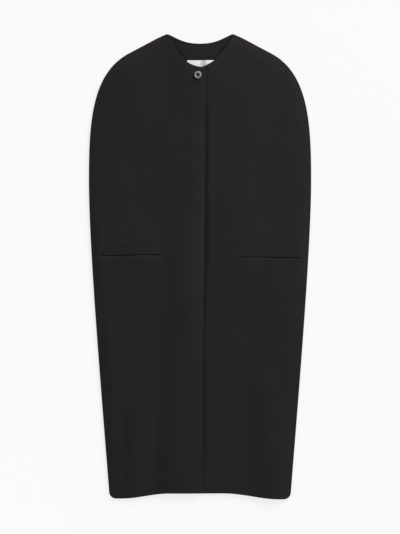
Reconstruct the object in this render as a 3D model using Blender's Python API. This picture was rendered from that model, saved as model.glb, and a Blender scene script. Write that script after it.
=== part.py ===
"""A long collarless wool cape, buttoned at the neck and laid flat on its back."""
import math
from collections import namedtuple

import bmesh
import bpy
import numpy as np

# Cloth thicknesses and the gaps between layers, in metres
WOOL = 0.0022
FACING = 0.0015
SATIN = 0.0010
WELT = 0.0020
SEAM_GAP = 0.0003
LAP_GAP = 0.0005

# Outline of the flat garment. A drop is the distance down from the level of the neck points.
# Each outline point is a half width and a drop.
LENGTH = 1.2076
NECK_POINT = (0.0870, 0.0)
SHOULDER_START = (0.1095, 0.0100)
SHOULDER_END = (0.1846, 0.0498)
WIDEST = (0.2887, 0.378)
HEM_SIDE = (0.2345, 1.2080)
SHOULDER_HANDLE = 0.109
WIDEST_HANDLE_UP = 0.151
WIDEST_HANDLE_DOWN = 0.169
HEM_HANDLE = 0.312
HEM_TAPER = 0.08
CORNER_RADIUS = 0.018

# The hem hangs level at the centre and dips towards each side
DIP_LEFT_FRONT = 0.0150
DIP_RIGHT_FRONT = 0.0132
DIP_FROM_LEFT_FRONT = 0.062
DIP_FROM_RIGHT_FRONT = 0.078
DIP_TO_LEFT_FRONT = 0.206
DIP_TO_RIGHT_FRONT = 0.205
DIP_FADE = 0.24
HEM_CENTRE = LENGTH - DIP_LEFT_FRONT

# Necklines and the lapped front edges
NECK_POINT_WIDTH = 0.006
FRONT_NECK_START = 0.0016
FRONT_NECK_DEPTH = 0.0858
FRONT_NECK_LOW_X = 0.0036
BACK_NECK_HALF = 0.0832
BACK_NECK_DEPTH = 0.0243
BACK_NECK_ANGLE = math.radians(22)
BACK_NECK_TIP_HANDLE = 0.026
BACK_NECK_BASE_HANDLE = 0.044
EDGE_X_TOP = 0.0156
EDGE_X_LOW = 0.0066
EDGE_LOW_DROP = 0.874
UNDERLAP_X = -0.039

# The two fronts: the side they lie on, their neckline curve and the levels of their welt
Front = namedtuple(
    "Front",
    "name side tip_half tip_angle tip_handle base_handle base_angle corner_drop welt_top welt_foot",
)
RIGHT = Front("front_right", -1, 0.0809, 64, 0.031, 0.055, 6, 0.0885, 0.5525, 0.5720)
LEFT = Front("front_left", 1, 0.0868, 60, 0.068, 0.036, 21, 0.0990, 0.5590, 0.5776)
WELT_OUTER_X = 0.260
WELT_INNER_X = 0.104

# How the fronts lie over the back: a soft roll from the side seams and a swell at the neck
ROLL_WIDTH = 0.060
LOFT = 0.0035
NECK_SWELL = 0.0080
NECK_SPREAD = 0.100
LAP_RAMP = 0.055

# The largest folds. Each starts flat at one drop and is full at another, and its crest drifts.
# Towards -X it falls away over its flank, and towards +X over its longer tail.
Fold = namedtuple("Fold", "start full x_start x_hem flank tail height")
FOLDS = (
    Fold(start=0.36, full=0.66, x_start=-0.047, x_hem=-0.070, flank=0.056, tail=0.090, height=0.0050),
    Fold(start=0.80, full=1.06, x_start=-0.166, x_hem=-0.168, flank=0.036, tail=0.080, height=0.0032),
    Fold(start=0.70, full=1.02, x_start=0.145, x_hem=0.182, flank=0.056, tail=0.075, height=0.0055),
)

# Pieces inside the neck
BACK_INSET = 0.0015
FACING_INSET = 0.0010
FACING_TOP_HALF = 0.076
FACING_FOOT_HALF = 0.085
FACING_FOOT = 0.0677
LINING_FOOT = 0.125
LINING_RIGHT_X = -0.0341
LINING_LEFT_X = 0.075

# The button
BUTTON_X = -0.0058
BUTTON_DROP = 0.1066
BUTTON_RADIUS = 0.0107
BUTTON_CREST_RADIUS = 0.0072
BUTTON_WELL_RADIUS = 0.0050
BUTTON_HEIGHT = 0.0034
BUTTON_EDGE = 0.0012
DISH_EDGE_HEIGHT = 0.0022
DISH_FLOOR_HEIGHT = 0.0014

# Fineness of the meshes. The rows are closer together where the shoulder rounds over.
CURVE_POINTS = 40
NECK_ROWS = 10
CHEST_ROWS = 12
CHEST_CROWDING = 1.6
SKIRT_ROWS = 13
CORNER_ROWS = 4
SIDE_CELLS = 2
WELT_CELLS = 7
PLACKET_CELLS = 3
LAP_CELLS = 3
BACK_CELLS = 5
FACING_CELLS = 16
ROUND_SIDES = 32
WELD_DISTANCE = 1e-5
SHARP_ANGLE = math.radians(40)


def clear_scene():
    for thing in list(bpy.data.objects):
        bpy.data.objects.remove(thing, do_unlink=True)


def finish(name, colour, roughness, metallic=0.0):
    material = bpy.data.materials.new(name)
    material.use_nodes = True
    shader = material.node_tree.nodes["Principled BSDF"]
    shader.inputs["Base Color"].default_value = (*colour, 1.0)
    shader.inputs["Roughness"].default_value = roughness
    shader.inputs["Metallic"].default_value = metallic
    return material


def smooth_step(value):
    value = min(max(value, 0.0), 1.0)
    return value * value * (3.0 - 2.0 * value)


def bezier(start, start_handle, end_handle, end):
    t = np.linspace(0.0, 1.0, CURVE_POINTS)[:, None]
    start, start_handle, end_handle, end = map(np.array, (start, start_handle, end_handle, end))
    return (
        (1 - t) ** 3 * start
        + 3 * (1 - t) ** 2 * t * start_handle
        + 3 * (1 - t) * t**2 * end_handle
        + t**3 * end
    )


def side_curve():
    """Half widths and drops from the neck point over the shoulder and down to the hem."""
    run = np.array(SHOULDER_END) - np.array(SHOULDER_START)
    along = run / np.linalg.norm(run)
    shoulder = bezier(
        SHOULDER_END,
        np.array(SHOULDER_END) + SHOULDER_HANDLE * along,
        (WIDEST[0], WIDEST[1] - WIDEST_HANDLE_UP),
        WIDEST,
    )
    skirt = bezier(
        WIDEST,
        (WIDEST[0], WIDEST[1] + WIDEST_HANDLE_DOWN),
        (HEM_SIDE[0] + HEM_TAPER * HEM_HANDLE, HEM_SIDE[1] - HEM_HANDLE),
        HEM_SIDE,
    )
    return np.vstack((NECK_POINT, SHOULDER_START, shoulder, skirt[1:]))


SIDE_CURVE = side_curve()


def dip_at(x):
    """How far the hem hangs below its centre level at x."""
    deepest, start, reach = DIP_LEFT_FRONT, DIP_FROM_LEFT_FRONT, DIP_TO_LEFT_FRONT
    if x < 0:
        deepest, start, reach = DIP_RIGHT_FRONT, DIP_FROM_RIGHT_FRONT, DIP_TO_RIGHT_FRONT
    return deepest * smooth_step((abs(x) - start) / (reach - start))


def hem_drop(x, drop):
    """The drop of a row at x, once the hem's dip is taken into it."""
    return drop + dip_at(x) * smooth_step((drop - HEM_CENTRE + DIP_FADE) / DIP_FADE)


def half_width(side, drop):
    """The garment's half width at a row, with the rounded corner of the hem."""
    true_drop = hem_drop(side * WIDEST[0], drop)
    half = np.interp(true_drop, SIDE_CURVE[:, 1], SIDE_CURVE[:, 0])
    above_hem = hem_drop(side * WIDEST[0], HEM_CENTRE) - true_drop
    if above_hem < CORNER_RADIUS:
        across = CORNER_RADIUS - above_hem
        half -= CORNER_RADIUS - math.sqrt(max(CORNER_RADIUS**2 - across**2, 0.0))
    return half


def edge_x(drop):
    """The free front edge, which runs slightly aslant from the neck to the hem."""
    share = (drop - FRONT_NECK_DEPTH) / (EDGE_LOW_DROP - FRONT_NECK_DEPTH)
    return EDGE_X_TOP + (EDGE_X_LOW - EDGE_X_TOP) * min(max(share, 0.0), 1.0)


def front_neckline(front):
    """Distances out from the centre and drops, from the neck point to the lowest point."""
    tip_angle = math.radians(front.tip_angle)
    base_angle = math.radians(front.base_angle)
    tip = np.array((front.tip_half, FRONT_NECK_START))
    base = np.array((front.side * FRONT_NECK_LOW_X, FRONT_NECK_DEPTH))
    return bezier(
        tip,
        tip + front.tip_handle * np.array((-math.cos(tip_angle), math.sin(tip_angle))),
        base + front.base_handle * np.array((math.cos(base_angle), -math.sin(base_angle))),
        base,
    )


def back_neckline():
    tip = np.array((BACK_NECK_HALF, 0.0))
    leave = np.array((-math.cos(BACK_NECK_ANGLE), math.sin(BACK_NECK_ANGLE)))
    return bezier(
        tip,
        tip + BACK_NECK_TIP_HANDLE * leave,
        (BACK_NECK_BASE_HANDLE, BACK_NECK_DEPTH),
        (0.0, BACK_NECK_DEPTH),
    )


def lap_lines(front, drop):
    """The line where the lap begins and the front's own free edge, at one row."""
    if front is RIGHT:
        lap_x, free_x = UNDERLAP_X, edge_x(drop)
    else:
        lap_x, free_x = edge_x(drop), UNDERLAP_X
    if drop >= front.corner_drop:
        return lap_x, free_x
    curve = np.vstack((front_neckline(front), (front.side * free_x, front.corner_drop)))
    out = np.interp(drop, curve[:, 1], curve[:, 0])
    outer = half_width(front.side, drop)
    out = min(out, outer - NECK_POINT_WIDTH)
    corner_outer = half_width(front.side, front.corner_drop)
    share = (front.side * (lap_x - free_x)) / (corner_outer - front.side * free_x)
    return front.side * (out + share * (outer - out)), front.side * out


def front_columns(front, drop):
    """The x of each column of a front, from the side seam to the free edge."""
    level = front.welt_top
    side_at_welt = half_width(front.side, level)
    lap_at_welt = front.side * lap_lines(front, level)[0]
    body = side_at_welt - lap_at_welt
    welt_starts = (side_at_welt - WELT_OUTER_X) / body
    welt_ends = (side_at_welt - WELT_INNER_X) / body
    shares = np.concatenate((
        np.linspace(0.0, welt_starts, SIDE_CELLS + 1),
        np.linspace(welt_starts, welt_ends, WELT_CELLS + 1)[1:],
        np.linspace(welt_ends, 1.0, PLACKET_CELLS + 1)[1:],
    ))
    lap_x, free_x = lap_lines(front, drop)
    outer_x = front.side * half_width(front.side, drop)
    body_columns = outer_x + shares * (lap_x - outer_x)
    lap_columns = np.linspace(lap_x, free_x, LAP_CELLS + 1)[1:]
    return np.concatenate((body_columns, lap_columns))


def front_rows():
    """The drops of the rows that both fronts share, so that the lap lies evenly."""
    neck = FRONT_NECK_DEPTH * np.sin(np.linspace(0.0, math.pi / 2, NECK_ROWS + 1))
    chest_shares = np.linspace(0.0, 1.0, CHEST_ROWS + 1) ** CHEST_CROWDING
    chest = LEFT.corner_drop + chest_shares * (RIGHT.welt_top - LEFT.corner_drop)
    welts = (LEFT.welt_top, RIGHT.welt_foot)
    corner_starts = HEM_CENTRE - CORNER_RADIUS
    skirt = np.linspace(LEFT.welt_foot, corner_starts, SKIRT_ROWS + 1)
    turn = np.linspace(0.0, math.pi / 2, CORNER_ROWS + 1)[1:]
    corner = corner_starts + CORNER_RADIUS * np.sin(turn)
    return np.concatenate((neck, (RIGHT.corner_drop,), chest, welts, skirt, corner))


def fold_height(x, drop):
    total = 0.0
    for fold in FOLDS:
        down = (drop - fold.start) / (fold.full - fold.start)
        drift = min(max((drop - fold.start) / (HEM_CENTRE - fold.start), 0.0), 1.0)
        crest = fold.x_start + (fold.x_hem - fold.x_start) * drift
        reach = fold.flank if x < crest else fold.tail
        across = min(abs(x - crest) / reach, 1.0)
        total += fold.height * smooth_step(down) * math.cos(across * math.pi / 2) ** 2
    return total


def rise(x, drop):
    """How far a front's inner face stands above the back, beyond the seam gap."""
    from_side = np.hypot(SIDE_CURVE[:, 0] - abs(x), SIDE_CURVE[:, 1] - drop).min()
    roll = 1.0 - (1.0 - min(from_side / ROLL_WIDTH, 1.0)) ** 2
    from_neck = math.hypot(x, drop - FRONT_NECK_DEPTH) / NECK_SPREAD
    swell = NECK_SWELL * math.exp(-(from_neck**2))
    return roll * (LOFT + swell + fold_height(x, drop))


def inner_face(front, x, drop):
    """The height of a front's inner face. The right front climbs over the left one's lap."""
    height = WOOL + SEAM_GAP + rise(x, drop)
    if front is RIGHT:
        climb = smooth_step((x - UNDERLAP_X + LAP_RAMP) / LAP_RAMP)
        height += (WOOL + LAP_GAP) * climb
    return height


def place(x, drop, z):
    return (x, LENGTH / 2 - drop, z)


def cloth(name, grids, thickness, material):
    """A wall of even thickness over grids of points, which join where they share points."""
    mesh = bmesh.new()
    for grid in grids:
        rows = [[mesh.verts.new(point) for point in row] for row in grid]
        for upper, lower in zip(rows, rows[1:]):
            for a, b, c, d in zip(upper, upper[1:], lower[1:], lower):
                mesh.faces.new((a, b, c, d))
    bmesh.ops.remove_doubles(mesh, verts=mesh.verts[:], dist=WELD_DISTANCE)
    raised = bmesh.ops.extrude_face_region(mesh, geom=mesh.faces[:], use_keep_orig=True)
    raised_points = [part for part in raised["geom"] if isinstance(part, bmesh.types.BMVert)]
    bmesh.ops.translate(mesh, verts=raised_points, vec=(0.0, 0.0, thickness))
    return add_object(name, mesh, material)


def circle(x, y, radius):
    turns = [2 * math.pi * side / ROUND_SIDES for side in range(ROUND_SIDES)]
    return [(x + radius * math.cos(turn), y + radius * math.sin(turn)) for turn in turns]


def turned(name, profile, centre, material, closed):
    """A turned solid from radii and heights: a ring when its profile is closed, else a disc."""
    mesh = bmesh.new()
    rings = []
    for radius, height in profile:
        points = [(x, y, centre[2] + height) for x, y in circle(centre[0], centre[1], radius)]
        rings.append([mesh.verts.new(point) for point in points])
    pairs = list(zip(rings, rings[1:]))
    if closed:
        pairs.append((rings[-1], rings[0]))
    else:
        mesh.faces.new(rings[0])
        mesh.faces.new(rings[-1])
    for lower, upper in pairs:
        for k in range(ROUND_SIDES):
            following = (k + 1) % ROUND_SIDES
            mesh.faces.new((lower[k], lower[following], upper[following], upper[k]))
    return add_object(name, mesh, material)


def add_object(name, mesh, material):
    bmesh.ops.recalc_face_normals(mesh, faces=mesh.faces[:])
    data = bpy.data.meshes.new(name)
    mesh.to_mesh(data)
    mesh.free()
    data.materials.append(material)
    data.shade_smooth()
    data.set_sharp_from_angle(angle=SHARP_ANGLE)
    thing = bpy.data.objects.new(name, data)
    bpy.context.scene.collection.objects.link(thing)
    return thing


def make_front(front, material):
    grid = []
    for drop in front_rows():
        row = []
        for x in front_columns(front, drop):
            true_drop = hem_drop(x, drop)
            row.append(place(x, true_drop, inner_face(front, x, true_drop)))
        grid.append(row)
    cloth(front.name, [grid], WOOL, material)


def make_welt(name, front, material):
    """The welt is the front's own points between the welt's lines, moved out by the seam gap."""
    levels = [drop for drop in front_rows() if front.welt_top <= drop <= front.welt_foot]
    grid = []
    for drop in levels:
        columns = front_columns(front, drop)[SIDE_CELLS:SIDE_CELLS + WELT_CELLS + 1]
        row = []
        for x in columns:
            height = inner_face(front, x, hem_drop(x, drop)) + WOOL + SEAM_GAP
            row.append(place(x, hem_drop(x, drop), height))
        grid.append(row)
    cloth(name, [grid], WELT, material)


def make_back(material):
    """One flat panel, in two halves that share the centre line below the neckline."""
    neckline = back_neckline()
    neck = BACK_NECK_DEPTH * np.sin(np.linspace(0.0, math.pi / 2, NECK_ROWS + 1))
    body = [drop for drop in front_rows() if drop > BACK_NECK_DEPTH + CORNER_RADIUS]
    halves = []
    for side in (-1, 1):
        grid = []
        for drop in (*neck, *body):
            inner = np.interp(drop, neckline[:, 1], neckline[:, 0])
            if drop >= BACK_NECK_DEPTH:
                inner = 0.0
            outer = max(half_width(side, drop) - BACK_INSET, inner + BACK_INSET)
            columns = side * np.linspace(outer, inner, BACK_CELLS + 1)
            short = BACK_INSET * smooth_step((drop - HEM_CENTRE + DIP_FADE) / DIP_FADE)
            grid.append([place(x, hem_drop(x, drop) - short, 0.0) for x in columns])
        halves.append(grid)
    cloth("back", halves, WOOL, material)


def make_facing(material):
    """The facing follows the back neckline and ends in a straight foot."""
    neckline = back_neckline()[::-1]
    head = []
    foot = []
    for share in np.linspace(-1.0, 1.0, FACING_CELLS + 1):
        x = share * FACING_TOP_HALF
        drop = np.interp(abs(x), neckline[:, 0], neckline[:, 1]) + FACING_INSET
        head.append(place(x, drop, WOOL + SEAM_GAP))
        foot.append(place(share * FACING_FOOT_HALF, FACING_FOOT, WOOL + SEAM_GAP))
    cloth("back_neck_facing", [[head, foot]], FACING, material)


def make_lining(material):
    """Only the top of the lining shows, below the facing. It runs on under the left front."""
    levels = (FACING_FOOT + SEAM_GAP, LINING_FOOT)
    widths = np.linspace(LINING_RIGHT_X, LINING_LEFT_X, FACING_CELLS + 1)
    grid = [[place(x, drop, WOOL + SEAM_GAP) for x in widths] for drop in levels]
    cloth("back_lining", [grid], SATIN, material)


def make_button(rim_material, dish_material):
    """A turned rim with a dished face inside it, seated on the right front."""
    under_rim = circle(BUTTON_X, BUTTON_DROP, BUTTON_RADIUS)
    seats = [inner_face(RIGHT, x, drop) for x, drop in under_rim]
    centre = place(BUTTON_X, BUTTON_DROP, max(seats) + WOOL + SEAM_GAP)
    rim = (
        (BUTTON_WELL_RADIUS, 0.0),
        (BUTTON_RADIUS - BUTTON_EDGE, 0.0),
        (BUTTON_RADIUS, BUTTON_EDGE),
        (BUTTON_CREST_RADIUS + BUTTON_EDGE, BUTTON_HEIGHT - BUTTON_EDGE / 2),
        (BUTTON_CREST_RADIUS, BUTTON_HEIGHT),
        (BUTTON_WELL_RADIUS, DISH_EDGE_HEIGHT),
    )
    turned("button_rim", rim, centre, rim_material, closed=True)
    dish_radius = BUTTON_WELL_RADIUS - SEAM_GAP
    dish = (
        (dish_radius, 0.0),
        (dish_radius, DISH_EDGE_HEIGHT - SEAM_GAP),
        (dish_radius / 2, DISH_FLOOR_HEIGHT),
    )
    turned("button_dish", dish, centre, dish_material, closed=False)


def main():
    clear_scene()
    wool = finish("black wool", (0.018, 0.017, 0.017), 0.9)
    satin = finish("pale satin", (0.72, 0.71, 0.69), 0.35)
    metal = finish("grey metal", (0.55, 0.55, 0.55), 0.3, 1.0)
    resin = finish("black resin", (0.02, 0.02, 0.02), 0.35)
    make_back(wool)
    make_facing(wool)
    make_lining(satin)
    make_front(LEFT, wool)
    make_front(RIGHT, wool)
    make_welt("welt_left", LEFT, wool)
    make_welt("welt_right", RIGHT, wool)
    make_button(metal, resin)


main()
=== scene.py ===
# %% [markdown]
# # A black wool cape, laid flat
# The real cape is a long cocoon of felted wool: one back, two fronts that lap at the centre, a facing
# and a pale lining that show in the neck, two narrow welts and one button. It lies on its back on a
# pale floor and is seen from straight above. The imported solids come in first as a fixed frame. Each
# piece below is then modelled again at the same place with soft edges, creases and a finish.

# %% Load the solids
import math
from collections import namedtuple

import bpy
import numpy as np
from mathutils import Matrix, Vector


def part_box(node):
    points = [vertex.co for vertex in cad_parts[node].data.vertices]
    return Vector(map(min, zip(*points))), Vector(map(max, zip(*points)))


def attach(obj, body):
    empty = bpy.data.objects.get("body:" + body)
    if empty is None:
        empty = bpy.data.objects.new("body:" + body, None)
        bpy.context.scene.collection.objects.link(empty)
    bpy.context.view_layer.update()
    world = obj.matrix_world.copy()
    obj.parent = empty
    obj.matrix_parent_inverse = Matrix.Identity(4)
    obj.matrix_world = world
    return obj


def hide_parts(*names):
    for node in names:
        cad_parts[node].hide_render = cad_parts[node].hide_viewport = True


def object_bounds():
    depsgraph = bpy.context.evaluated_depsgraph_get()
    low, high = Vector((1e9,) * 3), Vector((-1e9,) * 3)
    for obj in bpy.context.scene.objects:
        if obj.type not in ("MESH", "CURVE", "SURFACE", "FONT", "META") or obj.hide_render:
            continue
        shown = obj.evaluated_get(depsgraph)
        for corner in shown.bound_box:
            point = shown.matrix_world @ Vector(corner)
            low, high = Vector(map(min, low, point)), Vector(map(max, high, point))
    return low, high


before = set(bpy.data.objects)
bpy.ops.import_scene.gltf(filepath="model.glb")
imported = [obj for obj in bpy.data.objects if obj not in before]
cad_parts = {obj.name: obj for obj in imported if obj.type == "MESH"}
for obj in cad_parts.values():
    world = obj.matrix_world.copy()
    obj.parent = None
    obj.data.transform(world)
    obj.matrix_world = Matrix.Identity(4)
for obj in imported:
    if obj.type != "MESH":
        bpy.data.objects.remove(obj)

cad_low, cad_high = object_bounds()
LENGTH = cad_high.y - cad_low.y
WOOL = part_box("back")[1].z
print("nodes", sorted(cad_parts), "length", round(LENGTH, 4), "wool", round(WOOL, 4))

# %% [markdown]
# ## Drawing in plan
# A pattern maker draws each panel flat before cutting it. The same is done here: a point in plan is
# an x and a drop, which is the distance down from the neck points. Round stretches are Bezier curves,
# because two handles say more about a neckline than a long list of points would.

# %% Soft steps and curves
CURVE_POINTS = 60


def smooth_step(value):
    value = np.clip(value, 0.0, 1.0)
    return value * value * (3.0 - 2.0 * value)


def between(value, limits):
    """Nought up to the first limit, one from the second on, and a soft step between them."""
    return smooth_step((value - limits[0]) / (limits[1] - limits[0]))


def bezier(start, start_handle, end_handle, end):
    t = np.linspace(0.0, 1.0, CURVE_POINTS)[:, None]
    start, start_handle, end_handle, end = map(np.array, (start, start_handle, end_handle, end))
    near = (1 - t) ** 3 * start + 3 * (1 - t) ** 2 * t * start_handle
    far = 3 * (1 - t) * t**2 * end_handle + t**3 * end
    return near + far


print("a curve has", CURVE_POINTS, "points")

# %% Places along a line and away from it
SHORTEST_RUN = 1e-12


def along(line, shares):
    """Points at these shares of a line's length."""
    steps = np.hypot(*np.diff(line, axis=0).T)
    reached = np.concatenate(([0.0], np.cumsum(steps)))
    shares = np.asarray(shares) * reached[-1]
    return np.stack([np.interp(shares, reached, line[:, k]) for k in (0, 1)], axis=-1)


def distance_to(line, x, drop):
    """The distance from each point to a line in plan."""
    nearest = np.full(np.shape(x), np.inf)
    for (ax, ay), (bx, by) in zip(line, line[1:]):
        run = max((bx - ax) ** 2 + (by - ay) ** 2, SHORTEST_RUN)
        share = np.clip(((x - ax) * (bx - ax) + (drop - ay) * (by - ay)) / run, 0.0, 1.0)
        reach = np.hypot(x - ax - share * (bx - ax), drop - ay - share * (by - ay))
        nearest = np.minimum(nearest, reach)
    return nearest


# %% [markdown]
# ## The outline
# The shoulder runs straight from the neck point, rounds over, and the side then tapers to the hem. The
# hem hangs level at the centre and dips at each side. It could be traced point by point, but a few
# places with handles give a fairer line. They are the sizes that the solids were made from, so the soft
# pieces land on them.

# %% Shoulder and side
NECK_POINT = (0.0870, 0.0)
SHOULDER_START = (0.1095, 0.0100)
SHOULDER_END = (0.1846, 0.0498)
WIDEST = (0.2887, 0.378)
HEM_SIDE = (0.2345, 1.2080)
SHOULDER_HANDLE = 0.109
WIDEST_HANDLE_UP = 0.151
WIDEST_HANDLE_DOWN = 0.169
HEM_HANDLE = 0.312
HEM_TAPER = 0.08


def side_curve():
    run = np.array(SHOULDER_END) - np.array(SHOULDER_START)
    reach = np.array(SHOULDER_END) + SHOULDER_HANDLE * run / np.linalg.norm(run)
    above = (WIDEST[0], WIDEST[1] - WIDEST_HANDLE_UP)
    below = (WIDEST[0], WIDEST[1] + WIDEST_HANDLE_DOWN)
    low = (HEM_SIDE[0] + HEM_TAPER * HEM_HANDLE, HEM_SIDE[1] - HEM_HANDLE)
    shoulder = bezier(SHOULDER_END, reach, above, WIDEST)
    skirt = bezier(WIDEST, below, low, HEM_SIDE)
    return np.vstack((NECK_POINT, SHOULDER_START, shoulder, skirt[1:]))


SIDE_CURVE = side_curve()
print("side curve", len(SIDE_CURVE), "points, widest", round(SIDE_CURVE[:, 0].max() * 2, 4))

# %% Hem
DIP_LEFT_FRONT = 0.0150
DIP_RIGHT_FRONT = 0.0132
DIP_FROM_LEFT_FRONT = 0.062
DIP_FROM_RIGHT_FRONT = 0.078
DIP_TO_LEFT_FRONT = 0.206
DIP_TO_RIGHT_FRONT = 0.205
HEM_CENTRE = LENGTH - DIP_LEFT_FRONT


def dip_at(x):
    """How far the hem hangs below its level centre."""
    deepest = np.where(x < 0, DIP_RIGHT_FRONT, DIP_LEFT_FRONT)
    start = np.where(x < 0, DIP_FROM_RIGHT_FRONT, DIP_FROM_LEFT_FRONT)
    full = np.where(x < 0, DIP_TO_RIGHT_FRONT, DIP_TO_LEFT_FRONT)
    return deepest * between(np.abs(x), (start, full))


print("the hem's centre lies at drop", round(HEM_CENTRE, 4))

# %% Fronts and the lapped edge
FRONT_NECK_DEPTH = 0.0858
EDGE_X_TOP = 0.0156
EDGE_X_LOW = 0.0066
EDGE_LOW_DROP = 0.874
UNDERLAP_X = -0.039

Front = namedtuple(
    "Front", "name side welt dip corner_drop tip_half tip_angle tip_handle base_handle base_angle"
)
RIGHT = Front(
    name="front_right", side=-1, welt="welt_right", dip=DIP_RIGHT_FRONT, corner_drop=0.0885,
    tip_half=0.0809, tip_angle=64, tip_handle=0.031, base_handle=0.055, base_angle=6,
)
LEFT = Front(
    name="front_left", side=1, welt="welt_left", dip=DIP_LEFT_FRONT, corner_drop=0.0990,
    tip_half=0.0868, tip_angle=60, tip_handle=0.068, base_handle=0.036, base_angle=21,
)


def edge_x(drop):
    """The lapped edge leans a little towards the wearer's right on its way down."""
    share = np.clip((drop - FRONT_NECK_DEPTH) / (EDGE_LOW_DROP - FRONT_NECK_DEPTH), 0.0, 1.0)
    return EDGE_X_TOP + (EDGE_X_LOW - EDGE_X_TOP) * share


print("the edge laps", round(EDGE_X_TOP - UNDERLAP_X, 4), "m over the left front at the neck")

# %% Necklines
FRONT_NECK_START = 0.0016
FRONT_NECK_LOW_X = 0.0036
BACK_NECK_HALF = 0.0832
BACK_NECK_DEPTH = 0.0243
BACK_NECK_ANGLE = math.radians(22)
BACK_NECK_TIP_HANDLE = 0.026
BACK_NECK_BASE_HANDLE = 0.044


def front_neckline(front):
    """From the neck point to the front's own corner, in x and drop."""
    tip_turn, base_turn = math.radians(front.tip_angle), math.radians(front.base_angle)
    tip = np.array((front.tip_half, FRONT_NECK_START))
    base = np.array((front.side * FRONT_NECK_LOW_X, FRONT_NECK_DEPTH))
    tip_reach = tip + front.tip_handle * np.array((-math.cos(tip_turn), math.sin(tip_turn)))
    base_reach = base + front.base_handle * np.array((math.cos(base_turn), -math.sin(base_turn)))
    line = bezier(tip, tip_reach, base_reach, base) * (front.side, 1.0)
    corner_x = edge_x(front.corner_drop) if front is RIGHT else UNDERLAP_X
    return np.vstack((line, (corner_x, front.corner_drop)))


def back_neckline():
    tip = np.array((BACK_NECK_HALF, 0.0))
    leave = np.array((-math.cos(BACK_NECK_ANGLE), math.sin(BACK_NECK_ANGLE)))
    base_reach = (BACK_NECK_BASE_HANDLE, BACK_NECK_DEPTH)
    half = bezier(tip, tip + BACK_NECK_TIP_HANDLE * leave, base_reach, (0.0, BACK_NECK_DEPTH))
    return np.vstack((half * (-1.0, 1.0), half[::-1][1:]))


print("right neckline ends at", front_neckline(RIGHT)[-1].round(4))

# %% [markdown]
# ## How the fronts lie
# Wool this heavy rolls up from the side seams, swells where the neck opens, falls in a few long folds
# lower down and lies flatter again towards the hem. Cloth simulation could drop it so, but a pressed
# cape hardly drapes, and heights that are worked out are easier to steer. Each fold has a row in a
# table: where it starts, where it is full, where its crest runs and how high it is. It falls away over
# a short flank on one side and a longer tail on the other, as cloth does that is pushed one way.

# %% Fold table
Fold = namedtuple("Fold", "start full x_start x_hem flank tail height")
FOLDS = (
    Fold(start=0.36, full=0.66, x_start=-0.047, x_hem=-0.070, flank=0.056, tail=0.090, height=0.0050),
    Fold(start=0.80, full=1.06, x_start=-0.166, x_hem=-0.168, flank=0.036, tail=0.080, height=0.0032),
    Fold(start=0.70, full=1.02, x_start=0.168, x_hem=0.184, flank=0.060, tail=0.084, height=0.0062),
)


def fold_height(x, drop):
    total = np.zeros(np.shape(x))
    for fold in FOLDS:
        down = between(drop, (fold.start, fold.full))
        drift = np.clip((drop - fold.start) / (HEM_CENTRE - fold.start), 0.0, 1.0)
        crest = fold.x_start + (fold.x_hem - fold.x_start) * drift
        reach = np.where(x < crest, fold.flank, fold.tail)
        across = np.clip(np.abs(x - crest) / reach, 0.0, 1.0)
        total += fold.height * down * np.cos(across * math.pi / 2) ** 2
    return total


print(len(FOLDS), "folds, up to", max(fold.height for fold in FOLDS), "m high")

# %% Roll, swell and lap
SEAM_GAP = 0.0003
LAP_GAP = 0.0005
ROLL_WIDTH = 0.034
LOFT = 0.0035
LOFT_LOW = 0.0022
LOFT_FALL = (0.68, 0.92)
NECK_SWELL = 0.0080
NECK_SPREAD = 0.100
LAP_RAMP = 0.055
LAP_RAMP_TOP = 0.120
LAP_RAMP_FALL = (0.25, 0.55)


def rise(x, drop):
    """How far a front stands off the back."""
    from_side = distance_to(SIDE_CURVE, np.abs(x), drop)
    roll = 1.0 - (1.0 - np.clip(from_side / ROLL_WIDTH, 0.0, 1.0)) ** 2
    from_neck = np.hypot(x, drop - FRONT_NECK_DEPTH) / NECK_SPREAD
    loft = LOFT + (LOFT_LOW - LOFT) * between(drop, LOFT_FALL)
    return roll * (loft + NECK_SWELL * np.exp(-(from_neck**2)) + fold_height(x, drop))


def inner_face(front, x, drop):
    """The lower face of a front's cloth. The right front climbs over the left one."""
    height = WOOL + SEAM_GAP + rise(x, drop)
    if front is RIGHT:
        ramp = LAP_RAMP_TOP + (LAP_RAMP - LAP_RAMP_TOP) * between(drop, LAP_RAMP_FALL)
        height = height + (WOOL + LAP_GAP) * smooth_step((x - UNDERLAP_X + ramp) / ramp)
    return height


low_on_lap = np.array([UNDERLAP_X]), np.array([EDGE_LOW_DROP])
print("inner face of the lap, low down:", inner_face(RIGHT, *low_on_lap).round(4))

# %% [markdown]
# ## Soft shells
# A panel could be a plane with a Solidify modifier, but its edges would then be square. Here each
# panel is a grid in plan with rows and columns crowded at its edges. The upper and lower skins close
# on each other there in a quarter round, as a turned and pressed edge does.

# %% Rows that crowd at the edges
EDGE_STEPS = (0.0, 0.00012, 0.00045, 0.0010, 0.0018, 0.0032)
CLEAR_OF_EXTRA = 1.2


def crowded(length, spacing, extra=()):
    """Shares of a length, close together at both ends and round any extra places."""
    steps = np.array(EDGE_STEPS)
    places = np.concatenate((steps, length - steps, np.arange(spacing, length - spacing, spacing)))
    for place in extra:
        places = places[np.abs(places - place) > EDGE_STEPS[-1] * CLEAR_OF_EXTRA]
        places = np.concatenate((places, place + steps, place - steps[1:]))
    return np.unique(np.clip(places, 0.0, length)) / length


print("an edge closes in", len(EDGE_STEPS), "rows over", EDGE_STEPS[-1], "m")

# %% Faces and pieces


def quads(index):
    corners = (index[:-1, :-1], index[1:, :-1], index[1:, 1:], index[:-1, 1:])
    return np.stack(corners, axis=-1).reshape(-1, 4)


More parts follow.
